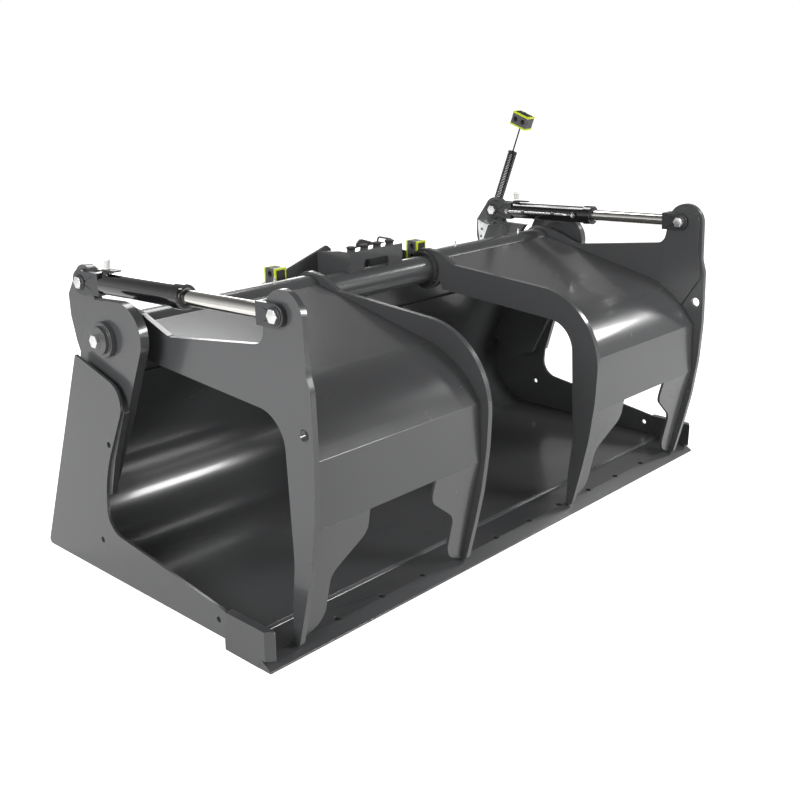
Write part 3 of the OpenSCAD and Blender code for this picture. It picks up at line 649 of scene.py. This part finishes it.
# %% [markdown]
# The hose guide stands on a close coil spring, so that it gives way when a hose pulls on it. The CAD
# node is a plain cylinder. A normal map could draw turns on it, but its outline would stay smooth. So a
# real helix is worked out, turn by turn, along the cylinder's own line, and stands for the plain solid.
# %% Hose spring
spring_low, spring_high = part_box("hose_spring")
spring_mid = (spring_low + spring_high) / 2
spring_axis = (middle("spring_clamp") - spring_mid).normalized()
COIL_R = (spring_high.x - spring_low.x) / 2
WIRE_R = 0.0024
COIL_PITCH = 0.0061
TURN_STEPS = 20
lean = math.sqrt(1 - spring_axis.z ** 2)
coil_l = (spring_high.z - spring_low.z - 2 * COIL_R * lean) / spring_axis.z
rise = coil_l - 2 * WIRE_R
steps = math.floor(rise / COIL_PITCH) * TURN_STEPS
to_place = axis_matrix(spring_mid, spring_axis)
coil = []
for i in range(steps + 1):
    a = 2 * math.pi * i / TURN_STEPS
    x, y = (COIL_R - WIRE_R) * math.cos(a), (COIL_R - WIRE_R) * math.sin(a)
    coil.append(to_place @ Vector((x, y, -rise / 2 + rise * i / steps)))
spring = wire("spring_coil", coil, WIRE_R, "hose_guide", SPRING)
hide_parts("hose_spring")
print("coil of", steps // TURN_STEPS, "turns,", round(coil_l, 4), "long")

# %% [markdown]
# Above the coil the wire runs straight up to the clamp, dipped in black plastic. The CAD wire is left
# as it is, and a slim turned sleeve goes round it, from just over the coil to just under the clamp's
# lower plate.
# %% Dipped wire
HALF_CLAMP = Vector((0.021, 0.034, 0.0185))
PLATE_T = 0.006
coil_to = spring_mid + spring_axis * (coil_l / 2)
to_clamp = (middle("spring_clamp") - coil_to).dot(spring_axis) - HALF_CLAMP.z - PLATE_T - 0.0001
sleeve = [(0.0024, 0.0035), (0.0029, 0.0045), (0.0029, to_clamp - 0.001), (0.0024, to_clamp)]
turned("dipped_wire", sleeve, [coil_to], spring_axis, "hose_guide", SPRING, 24)
print("dipped wire", round(to_clamp, 4), "long")

# %% [markdown]
# Each hose clamp is two plastic halves between two lime plates, pulled together by one bolt. The plates are
# dark in the middle. A painted mask could draw that; here a thin dark panel with its own rounded rim lies in
# the middle of each plate. The bolt's head and washer are turned on top of it.
# %% Clamp panels and bolts
RIM = 0.009
PANEL_T = 0.0007
CLAMP_BOLT = [(0.0072, 0.0), (0.0072, 0.0048), (0.0064, 0.0056)]
CLAMP_WASHER = [(0.0090, 0.0), (0.0090, 0.0012)]


def clamp_trim(name, mid, x_axis, y_axis, body):
    """x runs along the bores, y along the clamp, and the plates lie off both ends of the third axis."""
    x, y = Vector(x_axis).normalized(), Vector(y_axis).normalized()
    z = x.cross(y).normalized()
    panels = bmesh.new()
    bolts = bmesh.new()
    for way in (-1, 1):
        face = mid + z * way * (HALF_CLAMP.z + PLATE_T)
        panel = rounded_plate(2 * HALF_CLAMP.x - RIM, 2 * HALF_CLAMP.y - RIM, PANEL_T, 0.003)
        place_mesh(panel, face - z * way * 0.0001, x, y * way)
        spare = bpy.data.meshes.new("spare")
        panel.to_mesh(spare)
        panel.free()
        panels.from_mesh(spare)
        bpy.data.meshes.remove(spare)
        lathe_into(bolts, CLAMP_BOLT, face, z * way, 6)
        lathe_into(bolts, CLAMP_WASHER, face + z * way * 0.0003, z * way, 32)
    put(finish_mesh(panels, f"{name}_panels"), f"{name}_panels", body, PANEL)
    put(finish_mesh(bolts, f"{name}_bolt"), f"{name}_bolt", body, WASHER)


low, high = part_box("clamp_bodies")
for side, way in SIDES.items():
    mid = Vector((way * (high.x - HALF_CLAMP.x), (low.y + high.y) / 2, (low.z + high.z) / 2))
    clamp_trim(f"guard_clamp_{side}", mid, (1, 0, 0), (0, 0, 1), "bucket")
across = spring_axis.cross(Vector((1, 0, 0)))
clamp_trim("spring_clamp", middle("spring_clamp"), (1, 0, 0), across, "hose_guide")
print("clamps trimmed: 3")

# %% [markdown]
# A bent wire on the step keeps the hoses together. It is one wire with four bends, and both its ends go
# a little way into the plate, as if welded to it.
# %% Wire loop
BUTTON_H = 0.007
STEP_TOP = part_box("step")[1].z - BUTTON_H
LOOP_Y = 0.025
LOOP_R = 0.0032
LOOP = [(0.046, -0.002), (0.052, 0.0225), (0.080, 0.0155), (0.111, 0.008), (0.113, -0.002)]
loop = [(x, LOOP_Y, STEP_TOP + z) for x, z in LOOP]
wire("step_wire_loop", rounded_line(loop, 0.010), LOOP_R, "bucket", GREY)
print("loop reaches", round(STEP_TOP + LOOP[1][1], 4))

# %% [markdown]
# The floor sheet is welded to the cutting edge by one fillet across the whole bucket. A cube on its
# corner would do from afar, but a weld bulges. So its section is drawn with a few points on a slight
# crown and run from side plate to side plate, with its root sunk into both steels.
# %% Floor weld
WELD = 0.007
ROOT = 0.001
floor_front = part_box("bucket_shell")[0].y
edge_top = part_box("cutting_edge")[1].z
weld_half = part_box("side_plate_right")[0].x - ROOT
CROWN = [
    (-ROOT, -ROOT), (WELD, -ROOT), (WELD, 0.0004), (WELD * 0.62, WELD * 0.3), (WELD * 0.3, WELD * 0.62),
    (0.0, WELD), (-ROOT, WELD),
]
weld = bmesh.new()
ends = []
for x in (-weld_half, weld_half):
    ends.append([weld.verts.new((x, floor_front - out, edge_top + up)) for out, up in CROWN])
for i in range(len(CROWN)):
    j = (i + 1) % len(CROWN)
    weld.faces.new((ends[0][i], ends[0][j], ends[1][j], ends[1][i]))
weld.faces.new(ends[0])
weld.faces.new(list(reversed(ends[1])))
put(finish_mesh(weld, "floor_weld", 60), "floor_weld", "bucket", GREY)
print("weld", round(2 * weld_half, 3), "long")

# %% [markdown]
# Four buttons stand on the step, and dark rubber caps are pressed over them, a little wider than the
# steel. Each cap is one turned profile with a soft lip, and a single piece holds all four.
# %% Step caps
BUTTON_CAP = [
    (0.0124, 0.001), (0.0126, 0.0045), (0.0146, 0.0065), (0.0150, 0.0085), (0.0142, 0.0105), (0.0105, 0.0118),
]
BUTTON_X = (-0.085, -0.028, 0.028, 0.085)
BUTTON_Y = 0.008
button_tops = [Vector((x, BUTTON_Y, STEP_TOP)) for x in BUTTON_X]
turned("step_caps", BUTTON_CAP, button_tops, (0, 0, 1), "bucket", RUBBER, 40)
print("step caps:", len(BUTTON_X))

# %% [markdown]
# Gussets and guards are cut from plate, so all their shape is in the outline. They could be cut from a
# cube with booleans. Drawing the outline and giving it a thickness is shorter and leaves clean faces,
# and a fine bevel round the rim shows the cut edge.
# %% Flat plates
def flat_plate(name, outline, start, thick, axis):
    """A grey plate with an outline in the two axes other than the given one, from start along that axis."""
    bm = bmesh.new()
    sides = []
    for offset in (0, thick):
        ring = []
        for a, b in outline:
            place = (start + offset, a, b) if axis == "x" else (a, start + offset, b)
            ring.append(bm.verts.new(place))
        sides.append(ring)
    bm.faces.new(sides[0])
    bm.faces.new(list(reversed(sides[1])))
    count = len(outline)
    for i in range(count):
        j = (i + 1) % count
        bm.faces.new((sides[0][j], sides[0][i], sides[1][i], sides[1][j]))
    rim = [e for e in bm.edges if {len(f.verts) for f in e.link_faces} == {4, count}]
    bmesh.ops.bevel(bm, geom=rim, offset=PLATE_EDGE, segments=2, affect="EDGES")
    return put(finish_mesh(bm, name), name, "bucket", GREY)


def swept(centre, radius, start, end, steps=10):
    made = []
    for i in range(steps + 1):
        a = math.radians(start + (end - start) * i / steps)
        made.append((centre[0] + radius * math.cos(a), centre[1] + radius * math.sin(a)))
    return made


print("flat plates ready")

# %% [markdown]
# The cylinder pushes hard on its ear, so a gusset ties the ear's root to the plates round the tube. Its
# front edge is an arc about the tube, a little clear of the grapple's sleeve, and the rest is straight
# cuts.
# %% Ear gussets
GUSSET_R = 0.0845
GUSSET_INSET = 0.002
GUSSET_BACK = [(0.118, 0.633), (0.140, 0.633), (0.150, 0.700), (0.178, 0.745), (0.150, 0.7505)]
for side in SIDES:
    low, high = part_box(f"cylinder_ear_{side}")
    outline = swept((0, PIVOT_Z), GUSSET_R, 49, -20) + GUSSET_BACK
    thick = high.x - low.x - 2 * GUSSET_INSET
    flat_plate(f"ear_gusset_{side}", outline, low.x + GUSSET_INSET, thick, "x")
print("gussets cut, clear of the sleeve by", round(GUSSET_R - SLEEVE_R, 4))

# %% [markdown]
# The sheet behind the step guards the hoses. It rises to two peaks with a dip between them, where hoses
# pass. The CAD guard has a straight top, so this sheet stands for it. Half of the outline is drawn and
# then mirrored, so that both peaks are sure to match.
# %% Hose guard
low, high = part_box("back_guard")
PEAK = 0.080
PEAK_FLAT = 0.006
DIP = 0.052
DIP_DEPTH = 0.055
DIP_EASE = 0.012
left_half = [
    (low.x, low.z), (-PEAK, high.z), (-PEAK + PEAK_FLAT, high.z), (-DIP - PEAK_FLAT, high.z - DIP_EASE),
    (-DIP, high.z - DIP_DEPTH),
]
right_half = [(-x, z) for x, z in reversed(left_half)]
guard = flat_plate("hose_guard_sheet", left_half + right_half, low.y, high.y - low.y, "y")
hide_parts("back_guard")
print("guard", round(2 * high.x, 3), "wide")

# %% [markdown]
# The bucket stands on a plain pale floor, as in a product photograph. A white floor would look grey
# where light falls off. So its shader adds white for rays that come straight from the camera, which
# keeps the soft shadow as a faint grey, and a little for mirrored rays, so that metal has something
# pale below it.
# %% Floor
REACH = 30
floor_mesh = bpy.data.meshes.new("floor")
corners = [(-REACH, -REACH, 0), (REACH, -REACH, 0), (REACH, REACH, 0), (-REACH, REACH, 0)]
floor_mesh.from_pydata(corners, [], [(0, 1, 2, 3)])
floor = bpy.data.objects.new("floor", floor_mesh)
floor.location.z = -0.0006
scene.collection.objects.link(floor)
floor_paint, floor_tree, floor_shader = new_material("floor")
floor_shader.inputs["Base Color"].default_value = (0.7, 0.7, 0.7, 1)
floor_shader.inputs["Roughness"].default_value = 0.9
floor_shader.inputs["Specular IOR Level"].default_value = 0.0
floor_shader.inputs["Emission Color"].default_value = (1, 1, 1, 1)
paths = floor_tree.nodes.new("ShaderNodeLightPath").outputs
seen = math_node(floor_tree, "MULTIPLY", paths["Is Camera Ray"], 0.85)
mirrored = math_node(floor_tree, "MULTIPLY", paths["Is Glossy Ray"], 0.35)
glow = math_node(floor_tree, "ADD", seen, mirrored)
floor_tree.links.new(glow, floor_shader.inputs["Emission Strength"])
floor_mesh.materials.append(floor_paint)
print("floor", 2 * REACH, "m wide")

# %% [markdown]
# The camera stands where the photograph was taken from, in front of the left corner and a little above
# the bucket's top. It could be aimed by a constraint, but a fixed azimuth and elevation are plain
# numbers that can be checked.
# %% Camera
AZIMUTH = math.radians(-47.369)
ELEVATION = math.radians(18.178)
back = Vector((
    math.sin(AZIMUTH) * math.cos(ELEVATION), -math.cos(AZIMUTH) * math.cos(ELEVATION), math.sin(ELEVATION),
))
lens = bpy.data.cameras.new("camera")
lens.sensor_width = 36
lens.lens = 49.424
camera = bpy.data.objects.new("camera", lens)
camera.location = (-2.4194, -2.3429, 1.3988)
camera.rotation_mode = "QUATERNION"
camera.rotation_quaternion = (-back).to_track_quat("-Z", "Y")
scene.collection.objects.link(camera)
scene.camera = camera
print("camera at", [round(v, 3) for v in camera.location])

# %% [markdown]
# Dark satin steel looks flat unless it mirrors something that changes from low to high. An image of a
# studio would give that. A gradient in the world does it as well: mirrored rays see it pale at the
# horizon and dark overhead, plain rays see a softer one, and the camera sees white.
# %% Room
def grey(level):
    return (level, level, level, 1)


world = bpy.data.worlds.new("studio")
scene.world = world
world.use_nodes = True
sky = world.node_tree
split = sky.nodes.new("ShaderNodeSeparateXYZ")
sky.links.new(sky.nodes.new("ShaderNodeTexCoord").outputs["Generated"], split.inputs[0])
height = map_node(sky, split.outputs["Z"], 0.0, 0.6, 0.0, 1.0)
plain = mix_colour(sky, height, grey(0.62), grey(0.37))
mirrored = mix_colour(sky, height, grey(0.8), grey(0.12))
rays = sky.nodes.new("ShaderNodeLightPath").outputs
room = mix_colour(sky, rays["Is Glossy Ray"], plain, mirrored)
sky_shader = sky.nodes["Background"]
sky.links.new(mix_colour(sky, rays["Is Camera Ray"], room, grey(1.0)), sky_shader.inputs["Color"])
sky_shader.inputs["Strength"].default_value = 1.0
print("room ready")

# %% [markdown]
# Large flat lamps give soft shadows and broad streaks on rolled sheet. The key lights the left side
# plate, the fill and window light the front of the covers, and the strip and top stand behind, where
# the covers, the tube and the rods mirror them towards the camera.
# %% Lamps
def lamp(name, place, target, size, watts):
    light = bpy.data.lights.new(name, "AREA")
    light.shape = "RECTANGLE"
    light.size, light.size_y = size
    light.energy = watts
    holder = bpy.data.objects.new(name, light)
    holder.location = place
    holder.rotation_mode = "QUATERNION"
    holder.rotation_quaternion = (Vector(target) - Vector(place)).to_track_quat("-Z", "Y")
    scene.collection.objects.link(holder)


lamp("key", (-5.0, -0.6, 2.4), (0, 0, 0.3), (2.6, 2.0), 200)
lamp("fill", (1.9, -3.7, 2.0), (-0.5, 0, 0.2), (1.1, 0.8), 90)
lamp("window", (3.8, -1.8, 2.9), (0.2, -0.4, 0.6), (0.6, 0.8), 40)
lamp("strip", (4.2, 5.6, 2.0), (0, 0, 0.7), (3.2, 1.7), 75)
lamp("top", (1.23, 2.48, 3.9), (-0.8, 0, 0.7), (1.9, 1.5), 60)
